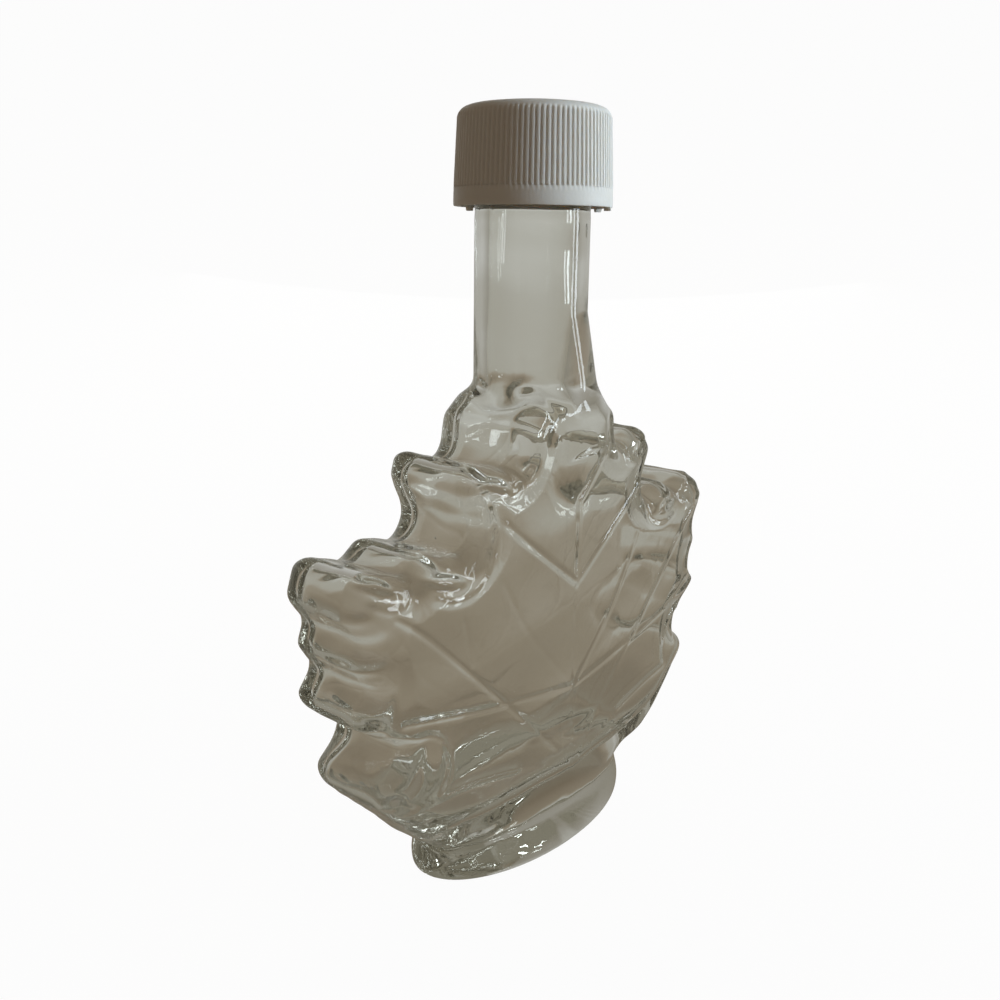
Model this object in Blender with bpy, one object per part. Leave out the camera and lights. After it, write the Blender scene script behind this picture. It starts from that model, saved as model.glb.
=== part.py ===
"""A clear glass bottle in the shape of a maple leaf, with a white ribbed screw cap.

The bottle stands on the ground plane, its leaf spread along X and its flat faces looking along -Y and +Y.
Lengths below are millimetres; MM turns them to metres when a mesh is made.
"""
import math

import bmesh
import bpy
from mathutils import Matrix, Vector

MM = 0.001
GAP = 0.3                      # clearance between the glass and the cap

# --- leaf -------------------------------------------------------------------
LEAF_CENTRE_Z = 56.0           # height that the faces' rings shrink towards
LEAF_HALF_DEPTH = 13.1         # half the thickness on the centre line
LEAF_THINNING = 0.13           # share of that lost at REACH from the centre line
REACH = 50.0
LEAF_POINTS = 150              # points round the leaf's outline

# Corners of the right half of the leaf, from the underside up to the shoulder: x, z, corner radius.
LEAF_HALF = (
    (33.0, 9.5, 3.0),          # lower edge, where it meets the foot
    (38.6, 15.4, 6.0),
    (51.8, 29.0, 3.4),         # lower lobe
    (41.6, 35.4, 3.2),
    (54.8, 43.8, 2.6),         # side lobe, third tooth
    (50.2, 49.2, 1.8),
    (53.8, 54.2, 1.8),         # side lobe, second tooth
    (51.8, 58.2, 1.8),
    (55.6, 63.3, 3.2),         # side lobe, main tooth
    (52.8, 71.2, 3.2),
    (42.3, 67.8, 3.0),
    (38.0, 70.8, 1.8),         # small tooth on top of the side lobe
    (23.3, 67.4, 3.6),
    (29.3, 79.8, 2.4),         # upper tooth
    (27.2, 85.2, 2.2),
    (15.2, 81.6, 3.4),
    (13.9, 90.6, 2.2),         # shoulder
    (8.5, 94.6, 3.0),
)
LEAF_TOP_Z = 96.0
LEAF_BOTTOM_Z = 8.0

# Line across the lower leaf where the flat face ends: its height on the centre line and its rise.
CREASE_Z = 19.2
CREASE_RISE = 8.6
CREASE_REACH = 45.0

EDGE_DEPTH = 5.0               # how far the rounded edge reaches along Y
EDGE_INSET = 3.0               # and how far it reaches into the face
EDGE_BLUR = 3.2                # length over which the teeth fade into the face
EDGE_STEPS = 4
FACE_SHARES = (0.3, 0.62)      # sizes of the two rings on each face, as shares of the face loop

# --- hollow -----------------------------------------------------------------
WALL = 2.8                     # glass thickness of the two faces
RIM_WALL = 3.0                 # glass thickness round the leaf's edge
HOLLOW_BLUR = 3.0              # length over which the teeth fade on the inside
HOLLOW_POINTS = 100
HOLLOW_EDGE_DEPTH = 5.0        # the hollow's own rounded edge: depth, inset and blur
HOLLOW_EDGE_INSET = 3.0
HOLLOW_EDGE_BLUR = 2.0
FLOOR_Z = 6.0                  # top of the glass base, inside the foot
POCKET_HALF_X = 24.5
POCKET_HALF_Y = 9.6
POCKET_STEPS = 40

# --- neck and foot ----------------------------------------------------------
NECK_R = 11.0
NECK_BORE_R = 8.2
BORE_STEPS = 32
FINISH_R = 12.2                # ring that the cap screws over
RIM_Z = 128.7                  # lower rim of the cap
LIP_Z = 144.6                  # top of the glass
ROUND_STEPS = 48
FOOT_HALF_X = 30.5
FOOT_HALF_Y = 14.9
FOOT_WALL = 6.5                # height of the foot's upright edge
FOOT_NARROWING = 0.55          # how much of a ring's inset along X is taken along Y too

# --- cap --------------------------------------------------------------------
CAP_R = 15.0
CAP_TOP_R = 14.6
CAP_HEIGHT = 18.2
CAP_WALL = 1.3
CAP_BAND = 3.2                 # plain band under the ribs
RIBS = 96
RIB_DEPTH = 0.35


def clear_scene():
    for thing in list(bpy.data.objects):
        bpy.data.objects.remove(thing, do_unlink=True)


def material(name, colour, roughness, metallic=0.0, transmission=0.0, ior=1.5):
    mat = bpy.data.materials.new(name)
    mat.use_nodes = True
    shader = mat.node_tree.nodes["Principled BSDF"]
    shader.inputs["Base Color"].default_value = (*colour, 1.0)
    shader.inputs["Roughness"].default_value = roughness
    shader.inputs["Metallic"].default_value = metallic
    shader.inputs["Transmission Weight"].default_value = transmission
    shader.inputs["IOR"].default_value = ior
    return mat


# --- outlines ---------------------------------------------------------------
def rounded(corners, chord=0.9):
    """A closed path through the corners, each turned into an arc of its radius."""
    path = []
    for i, (x, z, radius) in enumerate(corners):
        here = Vector((x, z))
        to_last = (Vector(corners[i - 1][:2]) - here).normalized()
        to_next = (Vector(corners[(i + 1) % len(corners)][:2]) - here).normalized()
        half_angle = to_last.angle(to_next) / 2
        if radius == 0 or half_angle > math.radians(89):
            path.append(here)
            continue
        centre = here + (to_last + to_next).normalized() * (radius / math.sin(half_angle))
        reach = radius / math.tan(half_angle)
        start = here + to_last * reach - centre
        turn = start.angle_signed(here + to_next * reach - centre)
        steps = max(2, math.ceil(abs(turn) * radius / chord))
        for step in range(steps + 1):
            path.append(centre + Matrix.Rotation(-turn * step / steps, 2) @ start)
    return path


def evenly(path, count):
    """The closed path again, as this many points at equal distances, the first one unmoved."""
    lengths = [0.0]
    for here, there in zip(path, path[1:] + path[:1]):
        lengths.append(lengths[-1] + (there - here).length)
    points = []
    side = 0
    for i in range(count):
        along = lengths[-1] * i / count
        while lengths[side + 1] < along:
            side += 1
        share = (along - lengths[side]) / (lengths[side + 1] - lengths[side])
        points.append(path[side].lerp(path[(side + 1) % len(path)], share))
    return points


def blurred(points, length):
    """The loop with each point moved to the weighted mean of its neighbours, so that teeth fade."""
    step = (points[1] - points[0]).length
    reach = math.ceil(3 * length / step)
    weights = [math.exp(-0.5 * (k * step / length) ** 2) for k in range(-reach, reach + 1)]
    total = sum(weights)
    loop = []
    for i in range(len(points)):
        mean = Vector((0.0, 0.0))
        for k, weight in zip(range(-reach, reach + 1), weights):
            mean += points[(i + k) % len(points)] * (weight / total)
        loop.append(mean)
    return loop


def inset(points, distance):
    """The loop moved into its own inside; the loop runs anticlockwise."""
    loop = []
    for i, here in enumerate(points):
        along = (points[(i + 1) % len(points)] - points[i - 1]).normalized()
        loop.append(here + Vector((-along.y, along.x)) * distance)
    return loop


def leaf_outline(count):
    """The leaf's outline seen from the front, anticlockwise from the middle of its underside."""
    right = list(LEAF_HALF)
    left = [(-x, z, radius) for x, z, radius in reversed(LEAF_HALF)]
    corners = [(0.0, LEAF_BOTTOM_Z, 0.0)] + right + [(0.0, LEAF_TOP_Z, 0.0)] + left
    return evenly(rounded(corners), count)


def flat_face(outline):
    """Loop round the flat part of a face: inside the rounded edge, and above the crease at the bottom."""
    loop = []
    for p in inset(blurred(outline, EDGE_BLUR), EDGE_INSET):
        rise = math.sin(math.pi / 2 * min(abs(p.x) / CREASE_REACH, 1.0))
        loop.append(Vector((p.x, max(p.y, CREASE_Z + CREASE_RISE * rise))))
    return loop


def half_depth(x, centre_depth):
    return centre_depth * (1 - LEAF_THINNING * (x / REACH) ** 2)


# --- meshes -----------------------------------------------------------------
def make_object(name, mesh_data, mat):
    mesh = bpy.data.meshes.new(name)
    mesh_data.normal_update()
    mesh_data.to_mesh(mesh)
    mesh_data.free()
    thing = bpy.data.objects.new(name, mesh)
    bpy.context.scene.collection.objects.link(thing)
    if mat:
        mesh.materials.append(mat)
    return thing


def loft(name, rings, first_pole, last_pole, mat=None):
    """A closed skin over rings of equally many points, with a point or a flat face at each end."""
    bm = bmesh.new()
    loops = [[bm.verts.new(Vector(point) * MM) for point in ring] for ring in rings]
    count = len(rings[0])
    for low, high in zip(loops, loops[1:]):
        for i in range(count):
            j = (i + 1) % count
            bm.faces.new((low[i], low[j], high[j], high[i]))
    for loop, pole, backwards in ((loops[0], first_pole, True), (loops[-1], last_pole, False)):
        if pole is None:
            bm.faces.new(reversed(loop) if backwards else loop)
            continue
        tip = bm.verts.new(Vector(pole) * MM)
        for i in range(count):
            j = (i + 1) % count
            bm.faces.new((loop[j], loop[i], tip) if backwards else (loop[i], loop[j], tip))
    bmesh.ops.recalc_face_normals(bm, faces=bm.faces)
    return make_object(name, bm, mat)


def leaf_body(name, outline, face_loop, centre_depth, edge_depth):
    """A slab with the outline at its middle and a rounded edge that runs in to face_loop on each face."""
    centre = Vector((0.0, LEAF_CENTRE_Z))
    front = []
    for share in FACE_SHARES:
        loop = [centre.lerp(point, share) for point in face_loop]
        front.append([(p.x, -half_depth(p.x, centre_depth), p.y) for p in loop])
    for step in range(EDGE_STEPS, -1, -1):
        angle = math.pi / 2 * step / EDGE_STEPS
        ring = []
        for outer, inner in zip(outline, face_loop):
            p = outer.lerp(inner, 1 - math.cos(angle))
            ring.append((p.x, -half_depth(p.x, centre_depth) + edge_depth * (1 - math.sin(angle)), p.y))
        front.append(ring)
    back = [[(x, -y, z) for x, y, z in ring] for ring in reversed(front)]
    poles = [(0.0, side * centre_depth, LEAF_CENTRE_Z) for side in (-1, 1)]
    return loft(name, front + back, *poles)


def turned(name, profile, steps=ROUND_STEPS, squash=None):
    """A solid of round rings; the profile lists radius and height, from the bottom up."""
    rings = []
    for radius, z in profile:
        half_x, half_y = (radius, radius) if squash is None else squash(radius)
        rings.append([(half_x * math.cos(2 * math.pi * i / steps),
                       half_y * math.sin(2 * math.pi * i / steps), z) for i in range(steps)])
    return loft(name, rings, None, None)


def foot_solid(name):
    """The oval foot and the waist that carries the leaf; each ring is an ellipse drawn in by its inset."""
    def oval(amount):
        return FOOT_HALF_X - amount, FOOT_HALF_Y - amount * FOOT_NARROWING
    profile = (
        (1.6, 0.0), (0.5, 0.5), (0.0, 1.6), (0.0, FOOT_WALL - 1.8), (0.6, FOOT_WALL - 0.4),
        (1.8, FOOT_WALL + 0.8), (3.4, FOOT_WALL + 2.6), (4.6, FOOT_WALL + 6.0), (6.0, FOOT_WALL + 11.0),
        (9.0, FOOT_WALL + 16.0),
    )
    return turned(name, profile, squash=oval)


def foot_pocket(name):
    """The oval hollow inside the foot, open upwards into the leaf."""
    def oval(amount):
        return POCKET_HALF_X - amount, POCKET_HALF_Y - amount
    profile = ((4.0, FLOOR_Z), (1.2, FLOOR_Z + 0.8), (0.0, FLOOR_Z + 3.0), (0.4, FLOOR_Z + 8.0), (2.0, FLOOR_Z + 14.0))
    return turned(name, profile, steps=POCKET_STEPS, squash=oval)


def combine(target, other, operation):
    """Joins or cuts target by other, then drops other."""
    step = target.modifiers.new(operation.title(), "BOOLEAN")
    step.operation = operation
    step.solver = "EXACT"
    step.object = other
    graph = bpy.context.evaluated_depsgraph_get()
    result = bpy.data.meshes.new_from_object(target.evaluated_get(graph), depsgraph=graph)
    target.modifiers.remove(step)
    target.data = result
    bpy.data.objects.remove(other, do_unlink=True)


def weld(thing, distance=0.02):
    bm = bmesh.new()
    bm.from_mesh(thing.data)
    bmesh.ops.remove_doubles(bm, verts=bm.verts, dist=distance * MM)
    bmesh.ops.dissolve_degenerate(bm, edges=bm.edges, dist=distance * MM)
    bm.to_mesh(thing.data)
    bm.free()


def shade(thing, angle):
    thing.data.shade_smooth()
    thing.data.set_sharp_from_angle(angle=math.radians(angle))


# --- the two pieces ---------------------------------------------------------
def make_bottle(glass):
    outline = leaf_outline(LEAF_POINTS)
    bottle = leaf_body("glass_bottle", outline, flat_face(outline), LEAF_HALF_DEPTH, EDGE_DEPTH)
    combine(bottle, foot_solid("foot"), "UNION")
    neck = turned("neck", (
        (10.0, 84.0), (12.6, 90.0), (12.2, 94.0), (11.6, 98.5), (11.2, 103.5), (NECK_R, 109.0),
        (NECK_R, RIM_Z - 0.6), (FINISH_R, RIM_Z + 0.6), (FINISH_R, LIP_Z - 0.8), (FINISH_R - 0.8, LIP_Z),
    ))
    combine(bottle, neck, "UNION")

    loop = inset(blurred(leaf_outline(HOLLOW_POINTS), HOLLOW_BLUR), RIM_WALL)
    face = inset(blurred(loop, HOLLOW_EDGE_BLUR), HOLLOW_EDGE_INSET)
    hollow = leaf_body("hollow", loop, face, LEAF_HALF_DEPTH - WALL, HOLLOW_EDGE_DEPTH)
    combine(hollow, foot_pocket("pocket"), "UNION")
    bore = turned("bore", (
        (6.0, 78.0), (8.6, 84.0), (9.0, 90.0), (8.6, 96.0), (NECK_BORE_R, 104.0),
        (NECK_BORE_R, LIP_Z - 4.0), (NECK_BORE_R + 0.8, LIP_Z - 1.0), (NECK_BORE_R + 0.8, LIP_Z + 5.0),
    ), steps=BORE_STEPS)
    combine(hollow, bore, "UNION")
    combine(bottle, hollow, "DIFFERENCE")
    weld(bottle)
    bottle.data.materials.clear()
    bottle.data.materials.append(glass)
    shade(bottle, 40)
    return bottle


def make_cap(plastic):
    """A shell with ribs round its side: each ring has one point on a rib and one in the groove beside it."""
    def ring(radius, z, groove):
        points = []
        for i in range(2 * RIBS):
            angle = math.pi * i / RIBS
            here = radius - (groove if i % 2 else 0.0)
            points.append((here * math.cos(angle), here * math.sin(angle), RIM_Z + z))
        return points
    rings = [
        ring(CAP_R - 0.2, 0.0, 0.0),
        ring(CAP_R, 0.3, 0.0),
        ring(CAP_R - 0.05, CAP_BAND, 0.0),
        ring(CAP_R - 0.1, CAP_BAND + 0.5, RIB_DEPTH),
        ring(CAP_TOP_R, CAP_HEIGHT - 2.2, RIB_DEPTH),
        ring(CAP_TOP_R - 0.6, CAP_HEIGHT - 1.2, 0.0),
        ring(CAP_TOP_R - 2.2, CAP_HEIGHT - 0.45, 0.0),
    ]
    cap = loft("screw_cap", rings, None, (0.0, 0.0, RIM_Z + CAP_HEIGHT))
    inside = turned("inside", (
        (CAP_R - CAP_WALL, RIM_Z - 2.0), (CAP_R - CAP_WALL, RIM_Z + 1.0),
        (CAP_TOP_R - CAP_WALL, LIP_Z + GAP - 1.0), (CAP_TOP_R - CAP_WALL - 1.0, LIP_Z + GAP),
    ))
    combine(cap, inside, "DIFFERENCE")
    weld(cap)
    cap.data.materials.clear()
    cap.data.materials.append(plastic)
    shade(cap, 35)
    return cap


def main():
    clear_scene()
    glass = material("clear_flint_glass", (0.92, 0.93, 0.90), 0.03, transmission=1.0, ior=1.52)
    plastic = material("white_polypropylene", (0.80, 0.79, 0.78), 0.45)
    make_bottle(glass)
    make_cap(plastic)


main()
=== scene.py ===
"""The looks of a maple leaf bottle: clear moulded glass under a white ribbed screw cap.

The bottle stands on the floor, its leaf spread along X and its faces looking along -Y and +Y.
Lengths are millimetres unless a name says otherwise, and MM turns them to metres.
"""

import math

import bpy
import numpy as np
from mathutils import Matrix, Vector


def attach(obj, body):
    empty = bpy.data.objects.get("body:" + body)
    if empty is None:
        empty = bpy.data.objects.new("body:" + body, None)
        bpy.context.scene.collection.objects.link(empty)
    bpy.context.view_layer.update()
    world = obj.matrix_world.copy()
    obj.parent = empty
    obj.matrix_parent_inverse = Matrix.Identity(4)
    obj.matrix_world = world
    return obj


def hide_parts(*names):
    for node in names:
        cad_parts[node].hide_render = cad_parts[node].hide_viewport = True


MM = 0.001
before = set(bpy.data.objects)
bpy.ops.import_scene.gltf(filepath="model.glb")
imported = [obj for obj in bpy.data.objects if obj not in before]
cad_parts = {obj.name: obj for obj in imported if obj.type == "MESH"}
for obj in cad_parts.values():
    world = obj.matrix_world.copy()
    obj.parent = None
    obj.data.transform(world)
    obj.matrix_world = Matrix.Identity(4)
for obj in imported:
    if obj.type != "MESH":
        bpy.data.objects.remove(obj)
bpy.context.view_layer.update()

# --- leaf -------------------------------------------------------------------
# Corners of the right half of the leaf, from the underside up to the shoulder: x, z, corner radius.
LEAF_HALF = (
    (33.0, 9.5, 3.0),          # lower edge, where it meets the foot
    (38.6, 15.4, 6.0),
    (51.8, 29.0, 3.4),         # lower lobe
    (41.6, 35.4, 3.2),
    (54.8, 43.8, 2.6),         # side lobe, third tooth
    (50.2, 49.2, 1.8),
    (53.8, 54.2, 1.8),         # side lobe, second tooth
    (51.8, 58.2, 1.8),
    (55.6, 63.3, 3.2),         # side lobe, main tooth
    (52.8, 71.2, 3.2),
    (42.3, 67.8, 3.0),
    (38.0, 70.8, 1.8),         # small tooth on top of the side lobe
    (23.3, 67.4, 3.6),
    (29.3, 79.8, 2.4),         # upper tooth
    (27.2, 85.2, 2.2),
    (15.2, 81.6, 3.4),
    (13.9, 90.6, 2.2),         # shoulder
    (8.5, 94.6, 3.0),
)
LEAF_TOP_Z = 96.0
LEAF_BOTTOM_Z = 8.0
LEAF_CENTRE_Z = 56.0           # height that the faces shrink towards
HALF_DEPTH = 13.1              # half the thickness on the centre line
THINNING = 0.13                # share of that lost at REACH from the centre line
REACH = 50.0
EDGE_RADIUS = 5.0              # rounding between the leaf's edge and its faces
EDGE_STEPS = 10
TOOTH_FADE = 1.6               # how fast the teeth fade along that rounding
FACE_RINGS = 12
OUTLINE_POINTS = 560
ARC_CHORD = 0.3                # longest step along a rounded corner
CREASE_Z = 18.6                # height of the face's lower margin on the centre line
CREASE_RISE = 8.6              # how much higher it is CREASE_REACH away from there
CREASE_REACH = 45.0

# --- hollow -----------------------------------------------------------------
WALL = 2.8                     # glass thickness of the two faces
RIM_WALL = 1.3                 # glass thickness round the leaf's edge
HOLLOW_BLUR = 0.7              # length over which the teeth fade on the inside
HOLLOW_RADIUS = 3.2            # rounding between the hollow's edge and its faces
FLOOR_Z = 10.5                 # top of the glass base on the centre line
FLOOR_RISE = 3.5               # how much higher it is FLOOR_REACH away from there
FLOOR_REACH = 30.0
BOWL_RADIUS = 8.5              # rounding between the base and the faces
BOWL_BLEND = 9.0               # length over which the base runs into the hollow's edge
BOWL_TOP_Z = 26.0              # that rounding ends here
BOWL_FADE_Z = 14.0             # and is whole this far below
BOWL_SIDE_X = 38.0             # it also ends this far to the side
BOWL_FADE_X = 10.0             # and is whole this far inside
WEDGE = 0.2                    # how fast the faces thicken towards the leaf's edge
WEDGE_REACH = 6.5              # from this far inside the hollow's edge
WEDGE_HEIGHTS = (27.0, 36.0)   # heights between which that sets in
HOLLOW_WAVES = (16.0, 0.12)    # length and height of the waves on the inside
HOLLOW_WAVES_TOP_Z = 130.0     # where they end
HOLLOW_WAVES_FADE = 10.0       # and the length over which they do

# --- neck, foot and cap -----------------------------------------------------
RIM_Z = 128.7                  # lower rim of the cap
LIP_Z = 144.6                  # top of the glass
FOOT_HALF_X = 30.5
FOOT_HALF_Y = 14.9
CAP_R = 14.98
CAP_TOP_R = 14.3
CAP_HEIGHT = 18.2
CAP_WALL = 1.3
CAP_BAND = 3.2                 # plain band under the ribs
RIBS = 96
RIB_DEPTH = 0.32
RIB_FOOT_FADE = 0.3            # height over which the ribs rise out of the band
RIB_TOP_GAP = 1.6              # how far below the cap's top they end
RIB_TOP_FADE = 0.8
GROOVE_GAIN = 1.8              # steepness of the grooves' sides
GROOVE_START = 0.6             # and how wide the ribs stay flat
STUB_ANGLES = (-67.0, -24.0, 98.0)  # degrees from +X towards +Y
STUB_HALF_WIDTH = 1.9
STUB_HEIGHT = 0.65
STUB_FADE = 0.6
RIM_MARGIN = 0.05

# --- mesh fineness ----------------------------------------------------------
SKIN_VOXEL = 0.45
HOLLOW_VOXEL = 0.6
SKIN_TRIANGLES = 140000
HOLLOW_TRIANGLES = 54000
TURNED_STEPS = 96
LEAST_STEEPNESS = 0.1          # guards the step of a point on its way to a field's surface
LONGEST_STEP = 1.2
NORMAL_REACH = 0.3             # reach over which the glass's normals are measured
STRAY = 0.2                    # points farther than this from both skins keep their own


# --- outlines ---------------------------------------------------------------
def rounded(corners):
    """A closed path through the corners, each drawn as an arc of its own radius."""
    path = []
    for i, (x, z, radius) in enumerate(corners):
        here = Vector((x, z))
        to_last = (Vector(corners[i - 1][:2]) - here).normalized()
        to_next = (Vector(corners[(i + 1) % len(corners)][:2]) - here).normalized()
        half_angle = to_last.angle(to_next) / 2
        if radius == 0 or half_angle > math.radians(89):
            path.append(here)
            continue
        centre = here + (to_last + to_next).normalized() * (radius / math.sin(half_angle))
        reach = radius / math.tan(half_angle)
        start = here + to_last * reach - centre
        turn = start.angle_signed(here + to_next * reach - centre)
        steps = max(2, math.ceil(abs(turn) * radius / ARC_CHORD))
        for step in range(steps + 1):
            path.append(centre + Matrix.Rotation(-turn * step / steps, 2) @ start)
    return np.array(path)


def evenly(path, count):
    """The closed path again, as this many points at equal distances, the first one unmoved."""
    closed = np.vstack([path, path[:1]])
    along = np.concatenate([[0.0], np.cumsum(np.linalg.norm(np.diff(closed, axis=0), axis=1))])
    wanted = np.linspace(0.0, along[-1], count, endpoint=False)
    return np.column_stack([np.interp(wanted, along, closed[:, axis]) for axis in (0, 1)])


def blurred(loop, steps):
    """The closed loop with each point at the weighted mean of its neighbours, over about this many steps."""
    reach = math.ceil(3 * steps)
    offsets = np.arange(-reach, reach + 1)
    weights = np.exp(-0.5 * (offsets / steps) ** 2)
    weights /= weights.sum()
    return sum(weight * np.roll(loop, -offset, axis=0) for offset, weight in zip(offsets, weights))


def inset(loop, distance):
    """The loop, which runs anticlockwise, moved into its own inside."""
    along = np.roll(loop, -1, axis=0) - np.roll(loop, 1, axis=0)
    along /= np.maximum(np.linalg.norm(along, axis=1), 1e-9)[:, None]
    return loop + distance * np.column_stack([-along[:, 1], along[:, 0]])


def leaf_outline(count=OUTLINE_POINTS):
    """The leaf's outline seen from the front, anticlockwise from the middle of its underside."""
    right = list(LEAF_HALF)
    left = [(-x, z, radius) for x, z, radius in reversed(LEAF_HALF)]
    corners = [(0.0, LEAF_BOTTOM_Z, 0.0)] + right + [(0.0, LEAF_TOP_Z, 0.0)] + left
    return evenly(rounded(corners), count)


def crease_height(x):
    return CREASE_Z + CREASE_RISE * np.sin(np.pi / 2 * np.minimum(np.abs(x) / CREASE_REACH, 1.0))


def half_depth(x, centre_depth):
    return centre_depth * (1 - THINNING * (x / REACH) ** 2)


def smooth_line(points, per_span=8):
    """A smooth open line through the points, after Catmull and Rom."""
    p = np.array(points, float)
    p = np.vstack([2 * p[0] - p[1], p, 2 * p[-1] - p[-2]])
    line = []
    for a, b, c, d in zip(p, p[1:], p[2:], p[3:]):
        for t in np.arange(per_span) / per_span:
            line.append(0.5 * (2 * b + (c - a) * t + (2 * a - 5 * b + 4 * c - d) * t ** 2
                               + (3 * b - a - 3 * c + d) * t ** 3))
    return np.array(line + [p[-2]])


# --- modelling --------------------------------------------------------------
def only(thing):
    """Makes this the one selected and active object."""
    bpy.ops.object.select_all(action="DESELECT")
    thing.select_set(True)
    bpy.context.view_layer.objects.active = thing


def new_object(name, data):
    thing = bpy.data.objects.new(name, data)
    bpy.context.scene.collection.objects.link(thing)
    return thing


def edit(thing):
    """Opens the object in edit mode with all of it selected."""
    only(thing)
    bpy.ops.object.mode_set(mode="EDIT")
    bpy.ops.mesh.select_mode(type="EDGE")
    bpy.ops.mesh.select_all(action="SELECT")


def leave_edit():
    bpy.ops.object.mode_set(mode="OBJECT")


def read_points(thing):
    points = np.empty(len(thing.data.vertices) * 3, np.float32)
    thing.data.vertices.foreach_get("co", points)
    return points.reshape(-1, 3).astype(float) / MM


def write_points(thing, points):
    thing.data.vertices.foreach_set("co", (points * MM).astype(np.float32).ravel())
    thing.data.update()


def modify(thing, kind, **settings):
    """Adds a modifier of this kind and applies it."""
    only(thing)
    step = thing.modifiers.new(kind.title(), kind)
    for name, value in settings.items():
        setattr(step, name, value)
    bpy.ops.object.modifier_apply(modifier=step.name)


def join(name, *things):
    only(things[0])
    for other in things[1:]:
        other.select_set(True)
    bpy.ops.object.join()
    things[0].name = things[0].data.name = name
    return things[0]


def cut_away(target, cutter):
    modify(target, "BOOLEAN", operation="DIFFERENCE", solver="MANIFOLD", object=cutter)
    bpy.data.objects.remove(cutter, do_unlink=True)


def lathe(name, profile, steps=TURNED_STEPS, per_span=4):
    """A closed turned solid: the profile's radius and height pairs, from the bottom up, as a smooth line."""
    line = smooth_line(profile, per_span) * MM
    return spun(name, [(0.0, line[0][1])] + list(line) + [(0.0, line[-1][1])], steps)


def spun(name, line, steps):
    """The solid that this line of radius and height pairs, in metres, sweeps round the Z axis."""
    mesh = bpy.data.meshes.new(name)
    mesh.from_pydata([(r, 0.0, z) for r, z in line], [(i, i + 1) for i in range(len(line) - 1)], [])
    thing = new_object(name, mesh)
    edit(thing)
    bpy.ops.mesh.spin(steps=steps, angle=2 * math.pi, center=(0, 0, 0), axis=(0, 0, 1))
    leave_edit()
    face_out(thing)
    return thing


def leaf_rings(outline, centre_depth, edge_radius, crease):
    """Ever smaller leaves from the middle of the edge, over its rounding, to the middle of the face."""
    rings = [np.column_stack([outline[:, 0], np.zeros(len(outline)), outline[:, 1]])]
    loop, reached = outline, 0.0
    for angle in np.linspace(0.0, np.pi / 2, EDGE_STEPS + 1):
        further = edge_radius * (1 - math.cos(angle)) - reached
        if further > 0:
            loop = inset(blurred(loop, TOOTH_FADE * math.sqrt(further)), further)
            reached += further
        x, z = loop.T
        if crease:
            z = np.maximum(z, LEAF_BOTTOM_Z + (crease_height(x) - LEAF_BOTTOM_Z) * (1 - math.cos(angle)))
        y = half_depth(x, centre_depth) - edge_radius * (1 - math.sin(angle))
        rings.append(np.column_stack([x, y, z]))
    face, centre = rings[-1], np.array([0.0, 0.0, LEAF_CENTRE_Z])
    for share in np.linspace(1.0, 0.0, FACE_RINGS + 1)[1:]:
        ring = centre + (face - centre) * share
        ring[:, 1] = half_depth(ring[:, 0], centre_depth)
        rings.append(ring)
    return np.array(rings)


def leaf_slab(name, outline, centre_depth, edge_radius, crease):
    """A leaf-shaped pillow: a ball whose rings are drawn out to leaves."""
    rings = leaf_rings(outline, centre_depth, edge_radius, crease)
    bands = 2 * (len(rings) - 1)
    bpy.ops.object.select_all(action="DESELECT")
    bpy.ops.mesh.primitive_uv_sphere_add(segments=len(outline), ring_count=bands, radius=MM)
    ball = bpy.context.object
    ball.name = ball.data.name = name
    x, y, z = np.clip(read_points(ball), -1, 1).T
    ring = np.rint(np.abs(np.arcsin(z)) / np.pi * bands).astype(int)
    spoke = np.rint(np.arctan2(y, x) / (2 * np.pi) * len(outline)).astype(int) % len(outline)
    placed = rings[ring, spoke]
    placed[:, 1] *= -np.sign(z)
    write_points(ball, placed)
    face_out(ball)
    return ball


def face_out(thing):
    """Closes what coincides and turns every face outwards."""
    edit(thing)
    bpy.ops.mesh.remove_doubles(threshold=0.005 * MM)
    bpy.ops.mesh.select_all(action="SELECT")
    bpy.ops.mesh.normals_make_consistent(inside=False)
    leave_edit()


def squash_oval(thing, half_x, half_y, share):
    """Turns a lathed round into an oval whose inset across Y is this share of its inset along X."""
    points = read_points(thing)
    radius = np.hypot(points[:, 0], points[:, 1])
    narrow = half_y - share * (half_x - radius)
    points[:, 1] *= np.where(radius > 1.0, narrow / np.maximum(radius, 1.0), half_y / half_x)
    write_points(thing, points)


# --- skins as fields --------------------------------------------------------
# A field gives each point, as x, y, z, about its distance from a surface, below 0 inside.
GRID_STEP = 0.25
FIELD_POINTS = 1400            # points round the outline that the fields are measured from
SKIN_INSET = 0.3               # room left for the waves of the edge
GRID_X = 62.0                  # the grids reach from -GRID_X to GRID_X and from GRID_LOW to GRID_HIGH
GRID_LOW, GRID_HIGH = -4.0, 104.0
CUT = 0.45                     # how far the flat face cuts into the rounding of the edge
CUT_EASE = 0.8                 # how much wider that rounding is for it
CUT_BLEND = 0.7
FINE_BLUR = 0.3                # softening of the outline and the relief
TOOTH_BLUR = 0.7               # and of the ridges that run in from the teeth
TOOTH_BLUR_FROM = (0.8, 3.2)   # distances from the outline between which that sets in
CREASE_STEP = 0.18             # drop of the front skin just below the crease
CREASE_STEP_SHARE = 0.14       # share of the way down over which it drops
APRON_DROP = 5.0               # and down to the leaf's underside
APRON_CURVE = 0.98             # how round that is: 1 ends it level
SPAN_POINTS = 6                # points on each span of a smoothed line


def grid_points():
    x = np.arange(-GRID_X, GRID_X + GRID_STEP / 2, GRID_STEP)
    z = np.arange(GRID_LOW, GRID_HIGH + GRID_STEP / 2, GRID_STEP)
    return np.meshgrid(x, z)


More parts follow.
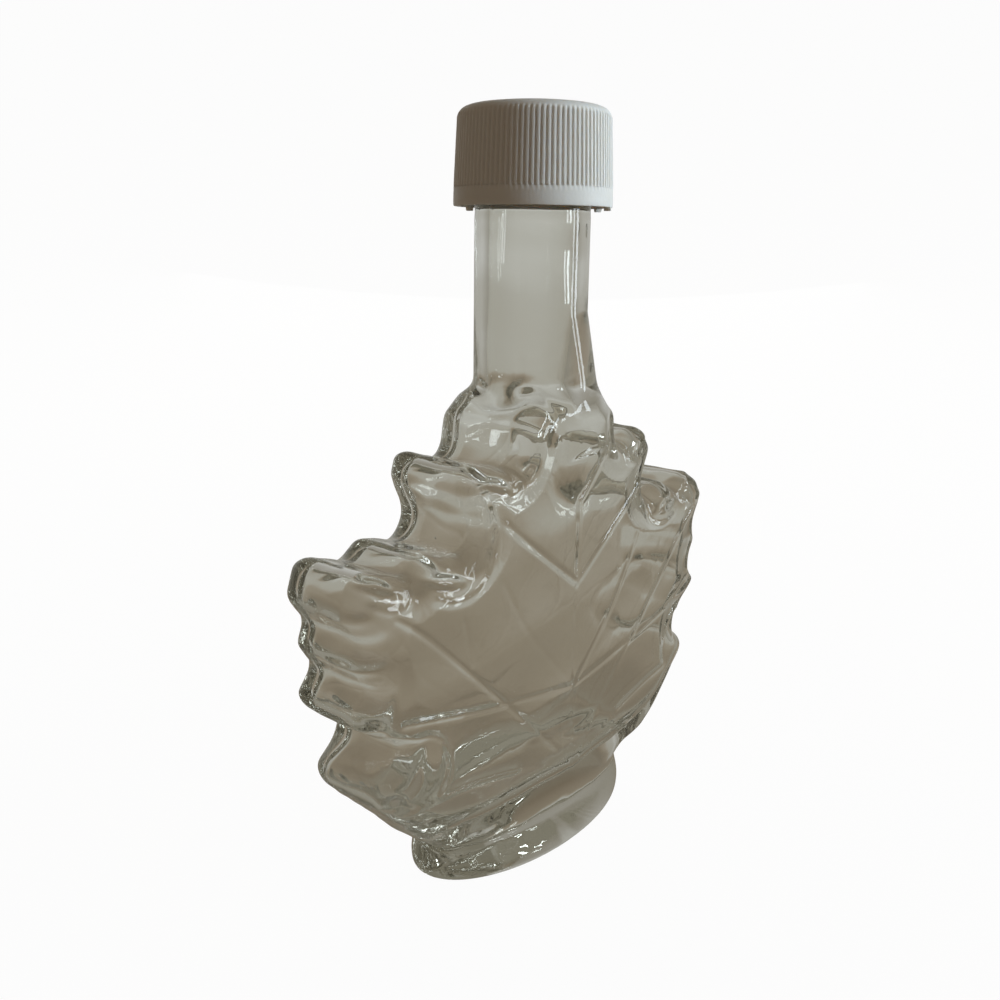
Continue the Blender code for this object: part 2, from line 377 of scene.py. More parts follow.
def looked_up(grid, x, z):
    """The grid's values at these places, between its own points."""
    column = np.clip((x + GRID_X) / GRID_STEP, 0, grid.shape[1] - 1.001)
    row = np.clip((z - GRID_LOW) / GRID_STEP, 0, grid.shape[0] - 1.001)
    i, j = column.astype(int), row.astype(int)
    u, v = column - i, row - j
    return ((grid[j, i] * (1 - u) + grid[j, i + 1] * u) * (1 - v)
            + (grid[j + 1, i] * (1 - u) + grid[j + 1, i + 1] * u) * v)


def softened(grid, length):
    """The grid blurred over this length, in both directions."""
    reach = math.ceil(3 * length / GRID_STEP)
    weights = np.exp(-0.5 * (np.arange(-reach, reach + 1) * GRID_STEP / length) ** 2)
    weights /= weights.sum()
    for axis in (0, 1):
        padding = [(reach, reach) if axis == k else (0, 0) for k in (0, 1)]
        padded = np.pad(grid, padding, mode="reflect", reflect_type="odd")
        size = grid.shape[axis]
        grid = sum(weight * padded.take(range(k, k + size), axis=axis) for k, weight in enumerate(weights))
    return grid


def nearest_line(x, z, path):
    """Distance from each place to an open path, and how far along it the nearest point lies, 0 to 1."""
    nearest = np.full(x.shape, 1e3)
    along = np.zeros(x.shape)
    spans = len(path) - 1
    for k, ((ax, az), (bx, bz)) in enumerate(zip(path, path[1:])):
        length = max((bx - ax) ** 2 + (bz - az) ** 2, 1e-9)
        share = np.clip(((x - ax) * (bx - ax) + (z - az) * (bz - az)) / length, 0, 1)
        distance = np.hypot(x - ax - share * (bx - ax), z - az - share * (bz - az))
        closer = distance < nearest
        nearest[closer] = distance[closer]
        along[closer] = (k + share[closer]) / spans
    return nearest, along


def outline_grid(outline):
    """Distance of each grid point from the leaf's outline, below 0 inside."""
    x, z = grid_points()
    half = x.shape[1] // 2
    right = outline[:len(outline) // 2 + 1]
    distance, _ = nearest_line(x[:, half:], z[:, half:], right)
    inside = np.zeros(distance.shape, bool)
    for (ax, az), (bx, bz) in zip(right, right[1:]):
        crosses = (az > z[:, half:]) != (bz > z[:, half:])
        if az != bz:
            inside ^= crosses & (x[:, half:] < ax + (z[:, half:] - az) * (bx - ax) / (bz - az))
    distance = np.where(inside, -distance, distance)
    return np.hstack([distance[:, :0:-1], distance])


def both(a, b, blend):
    """Field of what two solids share, their meeting edge rounded over this length."""
    over = np.maximum(blend - np.abs(a - b), 0) / blend
    return np.maximum(a, b) + over ** 2 * blend / 4


def either(a, b, blend):
    """Field of two solids together, the corner between them filled over this length."""
    return -both(-a, -b, blend)


def smooth_step(value, low, high):
    t = np.clip((value - low) / (high - low), 0, 1)
    return t * t * (3 - 2 * t)


def edge_rounded(flat, across, radius):
    """Field of a slab: flat is the field of its outline, across that of its two faces."""
    a, b = flat + radius, across + radius
    return np.hypot(np.maximum(a, 0), np.maximum(b, 0)) + np.minimum(np.maximum(a, b), 0) - radius


def oval_field(x, y, half_x, half_y):
    share = np.hypot(x / half_x, y / half_y)
    steep = np.hypot(x / half_x ** 2, y / half_y ** 2)
    return share * (share - 1) / np.maximum(steep, 1e-6)


def turned_field(profile, x, y, z):
    """Field of a round upright piece of this profile, without its ends."""
    radius, height = smooth_line(profile, SPAN_POINTS).T
    return np.hypot(x, y) - np.interp(z, height, radius)


# --- relief -----------------------------------------------------------------
# Veins of the front's right half, as points x, z from the root outwards, with their height there
# and on the left.
VEIN_LINES = (
    (((0.0, 19.0), (0.0, 35.0), (0.0, 56.0)), 0.08, 0.08),
    (((0.0, 56.0), (0.0, 65.0), (0.0, 74.5)), 0.34, 0.34),
    (((0.0, 73.5), (4.5, 77.8), (9.5, 84.0)), 0.34, 0.06),
    (((0.0, 57.0), (12.3, 66.0), (22.5, 74.0)), 0.36, 0.42),
    (((0.0, 35.0), (14.0, 49.6), (22.6, 63.0)), 0.16, 0.08),
    (((0.0, 35.0), (21.3, 38.4)), 0.14, 0.14),
    (((20.5, 38.2), (27.0, 39.4), (34.0, 40.8)), 0.30, 0.30),
    (((32.5, 40.5), (38.0, 41.7), (44.5, 43.0)), 0.32, 0.52),
    (((43.0, 42.7), (47.0, 43.4)), 0.30, 0.36),
    (((0.0, 17.0), (8.5, 25.9), (21.3, 38.4)), 0.10, 0.18),
    (((20.3, 37.4), (31.2, 47.9), (41.9, 58.0), (49.0, 63.4)), 0.36, 0.38),
    (((30.4, 48.6), (32.4, 58.6)), 0.06, 0.12),
)
VEIN_WIDTH = 0.45              # half-width of a vein at half its height
# Beads along the notches of the leaf, on the front of both halves: points x, z, and height.
BEAD_LINES = (
    (((53.0, 45.6), (48.2, 41.4), (44.5, 39.7), (41.0, 39.4),
      (38.0, 37.4), (36.4, 33.6), (36.3, 29.8), (37.8, 26.4)), 0.5),
    (((24.6, 69.0), (25.4, 66.0), (28.0, 63.2), (31.5, 62.0), (35.5, 62.2), (39.5, 63.8)), 0.34),
    (((17.4, 82.0), (16.9, 80.0), (18.4, 78.4), (21.5, 78.0)), 0.34),
    (((44.0, 66.4), (45.4, 64.4), (48.6, 64.0), (53.0, 66.0)), 0.3),
    (((38.0, 26.9), (30.0, 26.0), (22.0, 24.5), (17.0, 23.2)), 0.35),
)
BEAD_WIDTH = 0.5
# Dimples beside them: middle x, z, half-length, half-height, and rise outwards over that length.
DIMPLES = (
    (23.5, 80.8, 4.0, 1.25, 0.30),
    (36.3, 66.2, 5.0, 1.5, 0.23),
    (50.5, 68.6, 3.6, 1.25, 0.32),
)
DIMPLE_DEPTH = 0.7
BACK_SHARE = 0.2               # height of the veins on the back
# Runs of the glass under the crease, as the mould left them.
SWIRL_LINES = (
    ((-27.0, 17.5), (-17.0, 13.0), (-7.0, 15.5), (3.0, 12.0), (12.0, 15.0), (22.0, 16.5)),
    ((-20.0, 18.5), (-12.0, 16.2), (-4.0, 17.8), (6.0, 15.6), (16.0, 18.5)),
    ((-18.0, 10.0), (-8.0, 11.5), (2.0, 9.5), (12.0, 11.5), (22.0, 10.5)),
)
SWIRL_HEIGHT = 0.12
SWIRL_WIDTH = 2.4
LINE_TAPER = 0.06              # share of its length over which a line rises from each end
LINE_END = 0.25                # and the share of its height that it starts with


def bump_line(x, z, path, width):
    """1 along the path, falling to half at this width, and tapering off at the two ends."""
    distance, along = nearest_line(x, z, smooth_line(path, SPAN_POINTS))
    ends = np.clip(np.minimum(along, 1 - along) / LINE_TAPER + LINE_END, 0, 1)
    return np.exp(-np.log(2) * (distance / width) ** 2) * ends


def relief_grid(swirls):
    """Height of the veins over the face and, with swirls, of the front's runs, beads and dimples."""
    x, z = grid_points()
    relief = np.zeros(x.shape)
    for path, right_height, left_height in VEIN_LINES:
        height = np.where(x > 0, right_height, left_height)
        relief = np.maximum(relief, height * bump_line(np.abs(x), z, path, VEIN_WIDTH))
    if swirls:
        for path in SWIRL_LINES:
            relief += SWIRL_HEIGHT * bump_line(x, z, path, SWIRL_WIDTH)
        for path, height in BEAD_LINES:
            relief = np.maximum(relief, height * bump_line(np.abs(x), z, path, BEAD_WIDTH))
        for middle_x, middle_z, half_x, half_z, rise in DIMPLES:
            out = np.abs(x) - middle_x
            share = np.hypot(out / half_x, (z - middle_z - rise * out) / half_z)
            relief -= DIMPLE_DEPTH * smooth_step(1 - share ** 2, 0.0, 1.0)
    return relief


WAVE_COUNT = 7
FACE_WAVES = (11.0, 0.035)     # length and height of the mould's waves on the faces
RIM_WAVES = (4.5, 0.09)        # and round the leaf's edge
RIM_WAVES_STRETCH = 0.5        # which are longer through the thickness
RIM_REACH = (1.5, 5.0)         # distances from the outline between which those end
FACE_DEPTHS = (6.0, 8.5)       # depths between which the relief of a face sets in


def waves(x, y, z, length, seed):
    """A gentle unevenness between about -1 and 1, with waves of about this length."""
    chance = np.random.default_rng(seed)
    total = 0.0
    for _ in range(WAVE_COUNT):
        way = chance.normal(size=3)
        way *= 2 * math.pi / (length * chance.uniform(0.7, 1.6) * np.linalg.norm(way))
        total = total + np.sin(x * way[0] + y * way[1] + z * way[2] + chance.uniform(0, 2 * math.pi))
    return total / math.sqrt(WAVE_COUNT)


# --- the bottle -------------------------------------------------------------
FOOT_PROFILE = (
    (28.9, 0.0), (30.1, 0.7), (30.45, 2.0), (30.4, 3.6), (29.9, 5.4),
    (28.9, 7.3), (27.6, 9.6), (26.2, 12.5), (24.5, 17.5), (21.5, 22.5),
)
FOOT_NARROWING = 0.55          # share of the foot's inset along X that is its inset along Y
NECK_PROFILE = (
    (11.0, 84.0), (11.0, 92.0), (11.0, 97.0), (11.0, 103.5), (11.0, 109.0), (11.0, 119.0),
    (11.0, 126.0), (11.0, 128.8), (12.15, 130.6), (12.15, 136.0), (12.15, 143.8), (11.4, 144.6),
)
FLARE_WAY = (0.643, -0.766)    # direction in which the neck runs out onto the shoulder
FLARE_TOP_Z = 109.5
FLARE_LENGTH = 20.0            # it grows over this length down from there
FLARE_SLOPE = 0.165
BORE_PROFILE = (
    (7.9, 78.0), (8.0, 86.0), (8.1, 94.0), (8.2, 103.0),
    (8.2, 120.0), (8.2, 140.6), (9.0, 143.6), (9.0, 149.6),
)
FOOT_TOP_Z = 22.5              # ends of the foot, neck and bore inside each other
NECK_BOTTOM_Z = 84.0
BORE_BOTTOM_Z = 78.0
BORE_TOP_Z = 149.0
END_BLEND = 0.8                # rounding at the ends of the foot and neck
BORE_END_BLEND = 1.0
FOOT_BLEND = 6.0               # fillets where foot, neck and bore meet the leaf
NECK_BLEND = 2.6
BORE_BLEND = 2.5


def apron_drop(x, z):
    """How far the faces draw back below their lower margin, and the share of the way down from there."""
    share = np.clip((crease_height(x) - z) / (crease_height(x) - LEAF_BOTTOM_Z), 0, 1)
    return APRON_DROP * (1 - np.sqrt(1 - APRON_CURVE * share ** 2)), share


class Fields:
    """The grids that the glass is worked out from, and the fields of its two skins."""

    def __init__(self):
        near = softened(outline_grid(leaf_outline(FIELD_POINTS)), FINE_BLUR) + SKIN_INSET
        soft = softened(near, TOOTH_BLUR)
        # Blurring rounds the ridges along the teeth but would round the outline off too, so it starts inside.
        self.outside = near + (soft - near) * smooth_step(-near, *TOOTH_BLUR_FROM)
        self.inside = softened(near, HOLLOW_BLUR) + RIM_WALL
        self.front = softened(relief_grid(swirls=True), FINE_BLUR)
        self.back = softened(relief_grid(swirls=False), FINE_BLUR) * BACK_SHARE

    def skin(self, points):
        x, y, z = points.T
        face = half_depth(x, HALF_DEPTH)
        drop, share = apron_drop(x, z)
        drop += CREASE_STEP * smooth_step(share, 0.0, CREASE_STEP_SHARE) * (y < 0)
        across = np.abs(y) - face + drop
        flat = looked_up(self.outside, x, z)
        leaf = both(edge_rounded(flat, across - CUT, EDGE_RADIUS + CUT_EASE), across, CUT_BLEND)
        relief = np.where(y < 0, looked_up(self.front, x, z), looked_up(self.back, x, z))
        on_face = smooth_step(np.abs(y), *FACE_DEPTHS)
        rim = 1 - smooth_step(-flat, *RIM_REACH) * on_face
        length, height = RIM_WAVES
        leaf = leaf - relief * on_face - height * rim * waves(x, y * RIM_WAVES_STRETCH, z, length, 3)
        length, height = FACE_WAVES
        leaf -= height * waves(x, y, z, length, 5)
        radius = np.interp(z, *smooth_line(FOOT_PROFILE, SPAN_POINTS).T[::-1])
        foot = oval_field(x, y, radius, FOOT_HALF_Y - FOOT_NARROWING * (FOOT_HALF_X - radius))
        foot = both(foot, np.maximum(-z, z - FOOT_TOP_Z), END_BLEND)
        toward = np.clip((x * FLARE_WAY[0] + y * FLARE_WAY[1]) / np.maximum(np.hypot(x, y), 1.0), 0, 1)
        flare = FLARE_SLOPE * np.clip(FLARE_TOP_Z - z, 0, FLARE_LENGTH) * toward ** 2
        ends = np.maximum(z - LIP_Z, NECK_BOTTOM_Z - z)
        neck = both(turned_field(NECK_PROFILE, x, y, z) - flare, ends, END_BLEND)
        return either(either(leaf, foot, FOOT_BLEND), neck, NECK_BLEND)

    def hollow(self, points):
        x, y, z = points.T
        bowl = FLOOR_Z + FLOOR_RISE * (x / FLOOR_REACH) ** 2 - z
        flat = both(looked_up(self.inside, x, z), bowl, BOWL_BLEND)
        thicker = WEDGE * np.maximum(flat + WEDGE_REACH, 0) * smooth_step(z, *WEDGE_HEIGHTS)
        across = np.abs(y) - half_depth(x, HALF_DEPTH - WALL) + thicker
        low = smooth_step(BOWL_TOP_Z - z, 0.0, BOWL_FADE_Z)
        in_bowl = low * smooth_step(BOWL_SIDE_X - np.abs(x), 0.0, BOWL_FADE_X)
        radius = HOLLOW_RADIUS + (BOWL_RADIUS - HOLLOW_RADIUS) * in_bowl
        leaf = edge_rounded(flat, across, radius)
        ends = np.maximum(z - BORE_TOP_Z, BORE_BOTTOM_Z - z)
        bore = both(turned_field(BORE_PROFILE, x, y, z), ends, BORE_END_BLEND)
        inner = either(leaf, bore, BORE_BLEND)
        length, height = HOLLOW_WAVES
        below = smooth_step(HOLLOW_WAVES_TOP_Z - z, 0.0, HOLLOW_WAVES_FADE)
        return inner + height * waves(x, y, z, length, 8) * below


def slope(field, points, reach=0.06):
    """The field's rise per millimetre along each axis, taken over this reach to both sides."""
    return np.column_stack([
        (field(points + shift) - field(points - shift)) / (2 * reach) for shift in np.eye(3) * reach
    ])


def settle(thing, field, rounds):
    """Moves the points onto the surface of a field."""
    points = read_points(thing)
    for _ in range(rounds):
        rise = slope(field, points)
        steep = np.maximum((rise ** 2).sum(axis=1), LEAST_STEEPNESS)
        step = rise * (field(points) / steep)[:, None]
        length = np.linalg.norm(step, axis=1)
        points -= step * np.minimum(1, LONGEST_STEP / np.maximum(length, 1e-9))[:, None]
    write_points(thing, points)


def cast(name, pieces, field, voxel, triangles):
    """One closed skin on a field's surface, worked up from rough pieces that overlap."""
    thing = join(name, *pieces)
    modify(thing, "REMESH", mode="VOXEL", voxel_size=voxel * MM)
    for _ in range(3):
        modify(thing, "SMOOTH", factor=0.5, iterations=2)
        settle(thing, field, 2)
    modify(thing, "TRIANGULATE")
    modify(thing, "DECIMATE", ratio=min(1.0, triangles / len(thing.data.polygons)))
    settle(thing, field, 2)
    return thing


def bottle_skin(fields):
    """The outside of the glass, without its bore."""
    leaf = leaf_slab("leaf", leaf_outline(), HALF_DEPTH, EDGE_RADIUS, crease=True)
    foot = lathe("foot", FOOT_PROFILE)
    squash_oval(foot, FOOT_HALF_X, FOOT_HALF_Y, FOOT_NARROWING)
    pieces = leaf, foot, lathe("neck", NECK_PROFILE)
    return cast("maple_leaf_bottle", pieces, fields.skin, SKIN_VOXEL, SKIN_TRIANGLES)


def bottle_hollow(fields):
    """The space inside the glass, from the foot to above the lip."""
    outline = leaf_outline()
    spacing = np.linalg.norm(outline[1] - outline[0])
    loop = inset(blurred(outline, HOLLOW_BLUR / spacing), RIM_WALL)
    leaf = leaf_slab("hollow", loop, HALF_DEPTH - WALL, HOLLOW_RADIUS, crease=False)
    pieces = leaf, lathe("bore", BORE_PROFILE)
    return cast("hollow", pieces, fields.hollow, HOLLOW_VOXEL, HOLLOW_TRIANGLES)


# Small air bubbles in the wall: middle and half-sizes.
SEEDS = (
    ((-14.6, 11.5, 77.3), (0.35, 0.3, 0.5)),
    ((-16.4, 11.5, 64.2), (0.3, 0.25, 0.4)),
    ((3.4, -9.0, 124.5), (0.3, 0.3, 1.3)),
    ((8.9, 11.6, 83.7), (0.3, 0.3, 0.35)),
    ((-26.0, -11.7, 32.0), (0.22, 0.22, 0.22)),
)


def make_bottle(glass):
    fields = Fields()
    bottle = bottle_skin(fields)
    cut_away(bottle, bottle_hollow(fields))
    for place, size in SEEDS:
        bpy.ops.object.select_all(action="DESELECT")
        bpy.ops.mesh.primitive_uv_sphere_add(segments=16, ring_count=10, radius=MM)
        seed = bpy.context.object
        write_points(seed, read_points(seed) * size + place)
        cut_away(bottle, seed)
    dress(bottle, glass)
    point_normals(bottle, fields)
    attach(bottle, "root")
    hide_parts("glass_bottle")
    return bottle


def point_normals(bottle, fields):
    """Gives each point the slope of the very skin it lies on, so that no triangle shows in the glass."""
    points = read_points(bottle)
    outer, inner = fields.skin(points), fields.hollow(points)
    of_skin = np.abs(outer) < np.abs(inner)
    outwards = slope(fields.skin, points, NORMAL_REACH)
    inwards = -slope(fields.hollow, points, NORMAL_REACH)
    normals = np.where(of_skin[:, None], outwards, inwards)
    normals /= np.maximum(np.linalg.norm(normals, axis=1), 1e-6)[:, None]
    own = (points[:, 2] > LIP_Z - 1.0) | (np.minimum(np.abs(outer), np.abs(inner)) > STRAY)
    normals[own] = vertex_normals(bottle)[own]
    bottle.data.normals_split_custom_set_from_vertices(normals.tolist())


def vertex_normals(thing):
    normals = np.empty(len(thing.data.vertices) * 3, np.float32)
    thing.data.vertices.foreach_get("normal", normals)
    return normals.reshape(-1, 3).astype(float)


def dress(thing, finish, sharp=None):
    """Gives the object its one material and smooth shading, with edges above the sharp angle kept."""
    only(thing)
    thing.data.materials.clear()
    thing.data.materials.append(finish)
    bpy.ops.object.shade_smooth()
    if sharp:
        bpy.ops.object.shade_smooth_by_angle(angle=math.radians(sharp))


# --- the cap ----------------------------------------------------------------
def make_cap(plastic):
    cap = lathe("ribbed_cap", (
        (CAP_R - 0.25, RIM_Z), (CAP_R, RIM_Z + 0.35), (CAP_R - 0.05, RIM_Z + CAP_BAND),
        (CAP_R - 0.06, RIM_Z + CAP_BAND + 0.25), (CAP_R - 0.12, RIM_Z + CAP_BAND + 2.0),
        (CAP_TOP_R + 0.1, RIM_Z + CAP_HEIGHT - 4.0), (CAP_TOP_R, RIM_Z + CAP_HEIGHT - 2.4),
        (CAP_TOP_R - 0.45, RIM_Z + CAP_HEIGHT - 1.5), (CAP_TOP_R - 1.3, RIM_Z + CAP_HEIGHT - 0.85),
        (CAP_TOP_R - 3.0, RIM_Z + CAP_HEIGHT - 0.45), (CAP_TOP_R - 8.0, RIM_Z + CAP_HEIGHT - 0.12),
        (0.5, RIM_Z + CAP_HEIGHT - 0.001),
    ), steps=6 * RIBS, per_span=3)
    points = read_points(cap)
    radius, angle = np.hypot(points[:, 0], points[:, 1]), np.arctan2(points[:, 1], points[:, 0])
    z = points[:, 2] - RIM_Z
    wave = 0.5 - 0.5 * np.cos(angle * RIBS)
    groove = RIB_DEPTH * np.clip(GROOVE_GAIN * wave - GROOVE_START, 0, 1)
    above_band = np.clip((z - CAP_BAND) / RIB_FOOT_FADE, 0, 1)
    below_top = np.clip((CAP_HEIGHT - RIB_TOP_GAP - z) / RIB_TOP_FADE, 0, 1)
    groove *= above_band * below_top
    points[:, :2] *= ((radius - groove) / np.maximum(radius, 0.01))[:, None]
    write_points(cap, points)
    inside = lathe("inside", (
        (CAP_R - CAP_WALL, RIM_Z - 2.0), (CAP_R - CAP_WALL, RIM_Z + 1.0), (CAP_TOP_R - CAP_WALL, LIP_Z - 0.7),
        (CAP_TOP_R - CAP_WALL - 1.0, LIP_Z + 0.3),
    ), per_span=2)
    cut_away(cap, inside)
    # Stubs of the bridges that held the tamper ring, broken off under the rim.
    points = read_points(cap)
    angle = np.degrees(np.arctan2(points[:, 1], points[:, 0]))
    for stub in STUB_ANGLES:
        off = np.abs((angle - stub + 180) % 360 - 180)
        on_rim = points[:, 2] < RIM_Z + RIM_MARGIN
        points[:, 2] -= STUB_HEIGHT * smooth_step(STUB_HALF_WIDTH - off, 0.0, STUB_FADE) * on_rim
    write_points(cap, points)
    dress(cap, plastic, 50)
    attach(cap, "root")
    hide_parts("screw_cap")
    return cap


# --- materials --------------------------------------------------------------
def linear(code):
    """An sRGB hex colour as the linear values that shaders take."""
    levels = [int(code[i:i + 2], 16) / 255 for i in (1, 3, 5)]
    return [v / 12.92 if v <= 0.04045 else ((v + 0.055) / 1.055) ** 2.4 for v in levels] + [1.0]


def add_node(tree, kind, settings=None, links=None, **values):
    """Adds a node with its attributes, links from (node, socket) pairs and input values by socket name."""
    node = tree.nodes.new(kind)
    for name, value in (settings or {}).items():
        setattr(node, name, value)
    for name, value in values.items():
        node.inputs[name.replace("_", " ")].default_value = value
    for name, (source, socket) in (links or {}).items():
        tree.links.new(source.outputs[socket], node.inputs[name])
    return node


def blank_material(name):
    finish = bpy.data.materials.new(name)
    finish.use_nodes = True
    finish.node_tree.nodes.clear()
    return finish, finish.node_tree


def moulded_flint_glass():
    """Soda-lime flint glass, blown in an iron mould: clear, with a faint olive tint through its edges."""
    finish, tree = blank_material("moulded_flint_glass")
    place = add_node(tree, "ShaderNodeTexCoord")
    # Mould waviness 4.5 mm long, with finer waves down to about 1 mm.
    wave = add_node(tree, "ShaderNodeTexNoise", links={"Vector": (place, "Object")}, Scale=220.0, Detail=2.0)
    bump = add_node(tree, "ShaderNodeBump", links={"Height": (wave, "Fac")},
                    Strength=0.06, Distance=0.0004)
    shader = add_node(tree, "ShaderNodeBsdfPrincipled", links={"Normal": (bump, "Normal")},
                      Base_Color=linear("#fcfcf9"), Roughness=0.0, IOR=1.52, Transmission_Weight=1.0)
    tint = add_node(tree, "ShaderNodeVolumeAbsorption", Color=linear("#e5e4de"), Density=28.0)
    add_node(tree, "ShaderNodeOutputMaterial",
             links={"Surface": (shader, "BSDF"), "Volume": (tint, "Volume")})
    return finish


def white_polypropylene():
    """Injection-moulded polypropylene: soft white, waxy, with a fine satin grain."""
    finish, tree = blank_material("white_polypropylene")
    place = add_node(tree, "ShaderNodeTexCoord")
    # The real grain is too fine to show, so it is drawn about 0.5 mm long.
    grain = add_node(tree, "ShaderNodeTexNoise", links={"Vector": (place, "Object")}, Scale=1800.0, Detail=3.0)
    bump = add_node(tree, "ShaderNodeBump", links={"Height": (grain, "Fac")}, Strength=0.15, Distance=0.0002)
    shader = add_node(tree, "ShaderNodeBsdfPrincipled", links={"Normal": (bump, "Normal")},
                      Base_Color=linear("#dcdad6"), Roughness=0.42, IOR=1.49,
                      Subsurface_Weight=0.4, Subsurface_Radius=(0.0016, 0.0014, 0.0012), Subsurface_Scale=1.0)
    add_node(tree, "ShaderNodeOutputMaterial", links={"Surface": (shader, "BSDF")})
    return finish


# --- stage ------------------------------------------------------------------
CAMERA_PLACE = (-0.15404, -0.12179, 0.1230)    # metres
CAMERA_YAW = 50.08                             # degrees from +Y towards +X
CAMERA_PITCH = 14.69                           # degrees below level
CAMERA_ROLL = 0.76
FOCAL_LENGTH = 35.99
SENSOR = 36.0
ROOM_AXIS = (0.766, 0.643, 0.0)                # along which the room is long
SIDE_SHADE = "#8c897e"                         # the room off to both sides of that
MATT_SHADE = "#665848"                         # and as matt surfaces get it
TABLE_SHADE = "#7c7464"                        # straight below
CEILING_SHADE = "#8c867a"                      # straight above
ROOM_SHADES = (                                # between them, from 0 below to 1 above
    (0.22, "#766b5b"), (0.265, "#827767"), (0.31, "#8b8171"), (0.36, "#999184"),
    (0.395, "#a9a79f"), (0.47, "#adaca6"), (0.52, "#c0c1be"), (0.7, "#a3a19b"),
)
FLOOR_LINE = (                                 # radius and height, in millimetres
    (0.0, 0.0), (350.0, 0.0), (600.0, 12.0), (850.0, 55.0), (1080.0, 140.0), (1260.0, 270.0),
    (1400.0, 450.0), (1490.0, 700.0), (1520.0, 1100.0), (1480.0, 1500.0), (1300.0, 1850.0),
    (700.0, 2100.0), (0.0, 2150.0),
)
FLOOR_STEPS = 64
LIGHT_TARGET = (0.0, 0.0, 0.07)                # metres, as all places of lights
PANES = (("left_pane", (0.60, -0.78, 0.17), 0.07), ("right_pane", (0.72, -0.66, 0.17), 0.10))
PANE_HEIGHT = 0.24
PANE_POWER = 5.0                               # watts for each metre of width


def make_camera():
    yaw, pitch, roll = (math.radians(v) for v in (CAMERA_YAW, CAMERA_PITCH, CAMERA_ROLL))
    ahead = Vector((math.sin(yaw) * math.cos(pitch), math.cos(yaw) * math.cos(pitch), -math.sin(pitch)))
    level = Vector((math.cos(yaw), -math.sin(yaw), 0.0))
    upright = level.cross(ahead)
    right = level * math.cos(roll) + upright * math.sin(roll)
    up = upright * math.cos(roll) - level * math.sin(roll)
    data = bpy.data.cameras.new("camera")
    data.lens, data.sensor_width = FOCAL_LENGTH, SENSOR
    data.clip_start, data.clip_end = 0.001, 50.0
    camera = new_object("camera", data)
    turned = Matrix((right, up, -ahead)).transposed().to_4x4()
    camera.matrix_world = Matrix.Translation(CAMERA_PLACE) @ turned
    bpy.context.scene.camera = camera
    scene = bpy.context.scene
    scene.view_settings.view_transform = "Standard"
    # Light goes to and fro many times inside thick glass.
    scene.cycles.max_bounces = scene.cycles.transmission_bounces = scene.cycles.glossy_bounces = 32


def make_floor():
    """A pale round floor that turns up into a pale wall all round, seen by the camera alone."""
    floor = spun("floor", [(r * MM, z * MM) for r, z in FLOOR_LINE], FLOOR_STEPS)
    finish, tree = blank_material("pale_paper")
    # Nearly black under an even glow of its own, so that no lamp draws an edge on it.
    shader = add_node(tree, "ShaderNodeBsdfPrincipled", Base_Color=linear("#141414"), Roughness=0.9,
                      Emission_Color=linear("#fbfbfb"), Emission_Strength=1.0)
    add_node(tree, "ShaderNodeOutputMaterial", links={"Surface": (shader, "BSDF")})
    dress(floor, finish)
    floor.visible_transmission = floor.visible_glossy = floor.visible_shadow = floor.visible_diffuse = False


def area_light(name, place, target, size, power, colour):
    data = bpy.data.lights.new(name, "AREA")
    data.shape = "RECTANGLE"
    data.size, data.size_y = size
    data.energy = power
    data.color = linear(colour)[:3]
    light = new_object(name, data)
    light.location = place
    light.rotation_euler = (Vector(target) - Vector(place)).to_track_quat("-Z", "Y").to_euler()
    return light


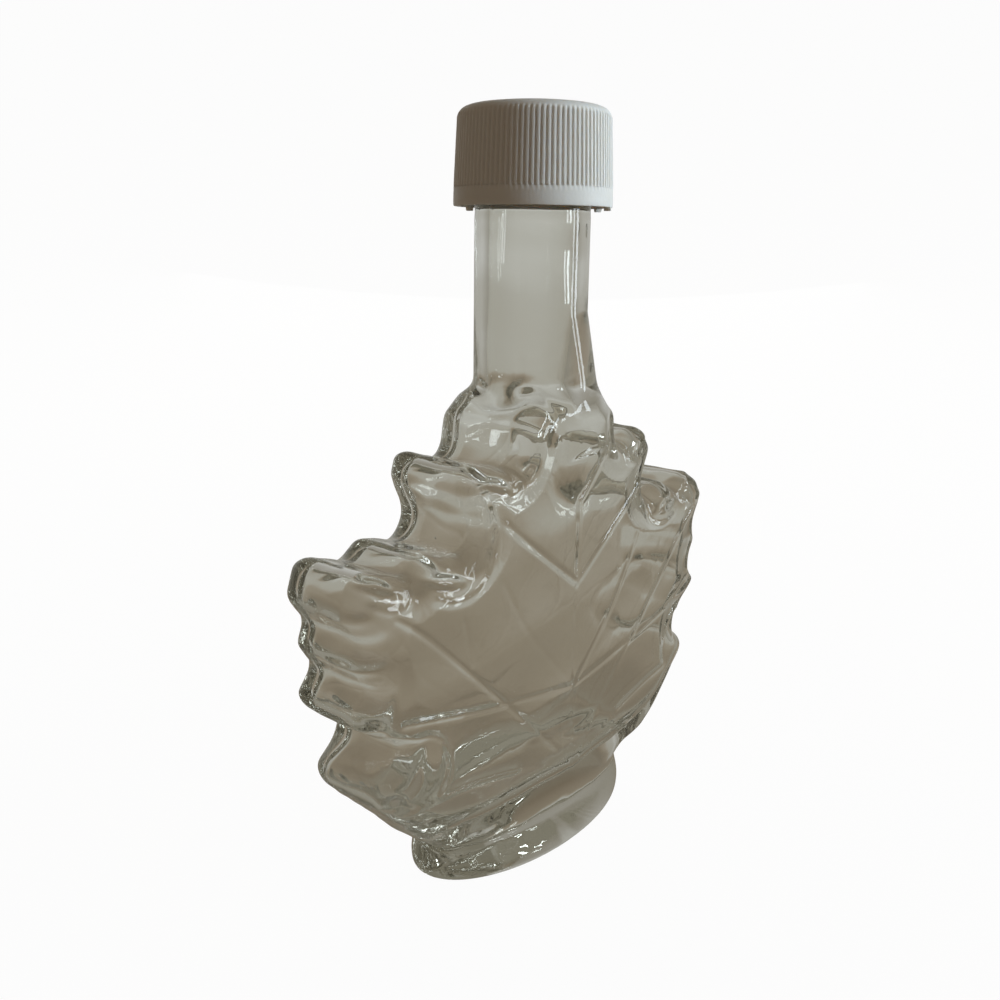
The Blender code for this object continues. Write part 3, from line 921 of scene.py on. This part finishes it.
def make_world():
    """A dim warm room: a brown table below, a grey wall at eye height, one even grey to both sides."""
    world = bpy.data.worlds.new("room")
    bpy.context.scene.world = world
    world.use_nodes = True
    tree = world.node_tree
    tree.nodes.clear()
    place = add_node(tree, "ShaderNodeTexCoord")
    split = add_node(tree, "ShaderNodeSeparateXYZ", links={"Vector": (place, "Generated")})
    rise = add_node(tree, "ShaderNodeMapRange", links={"Value": (split, "Z")}, From_Min=-1.0, From_Max=1.0)
    shades = add_node(tree, "ShaderNodeValToRGB", links={"Fac": (rise, "Result")})
    stops = shades.color_ramp.elements
    stops[0].position, stops[0].color = 0.0, linear(TABLE_SHADE)
    stops[1].position, stops[1].color = 1.0, linear(CEILING_SHADE)
    for position, code in ROOM_SHADES:
        stops.new(position).color = linear(code)
    # Off to both sides of ROOM_AXIS its walls are one even grey.
    along = add_node(tree, "ShaderNodeVectorMath", {"operation": "DOT_PRODUCT"}, {0: (place, "Generated")})
    along.inputs[1].default_value = ROOM_AXIS
    square = add_node(tree, "ShaderNodeMath", {"operation": "MULTIPLY"},
                      {0: (along, "Value"), 1: (along, "Value")})
    side = add_node(tree, "ShaderNodeMapRange", links={"Value": (square, 0)}, From_Min=0.1, From_Max=0.7)
    room = add_node(tree, "ShaderNodeMix", {"data_type": "RGBA"}, {0: (side, 0), 7: (shades, "Color")})
    room.inputs[6].default_value = linear(SIDE_SHADE)
    # Matt surfaces get less of the room, so that the window shades them.
    ray = add_node(tree, "ShaderNodeLightPath")
    matt = add_node(tree, "ShaderNodeMix", {"data_type": "RGBA"}, {0: (ray, "Is Diffuse Ray"), 6: (room, 2)})
    matt.inputs[7].default_value = linear(MATT_SHADE)
    back = add_node(tree, "ShaderNodeBackground", links={"Color": (matt, 2)})
    add_node(tree, "ShaderNodeOutputWorld", links={"Surface": (back, "Background")})


def make_lights():
    daylight = area_light("daylight", (0.56, -0.95, 0.35), LIGHT_TARGET, (0.55, 0.75), 17.0, "#e0f0fa")
    daylight.visible_glossy = daylight.visible_transmission = False
    for name, place, width in PANES:
        pane = area_light(name, place, LIGHT_TARGET, (width, PANE_HEIGHT), PANE_POWER * width, "#eaf6ff")
        pane.visible_diffuse = False
    # The unlit side gets a soft light of its own, which the glass doesn't show.
    fill = area_light("fill", (0.62, 0.50, 0.30), LIGHT_TARGET, (0.7, 0.7), 5.0, "#f4f4f2")
    fill.visible_glossy = fill.visible_transmission = False


def main():
    make_bottle(moulded_flint_glass())
    make_cap(white_polypropylene())
    make_floor()
    make_world()
    make_lights()
    make_camera()


main()
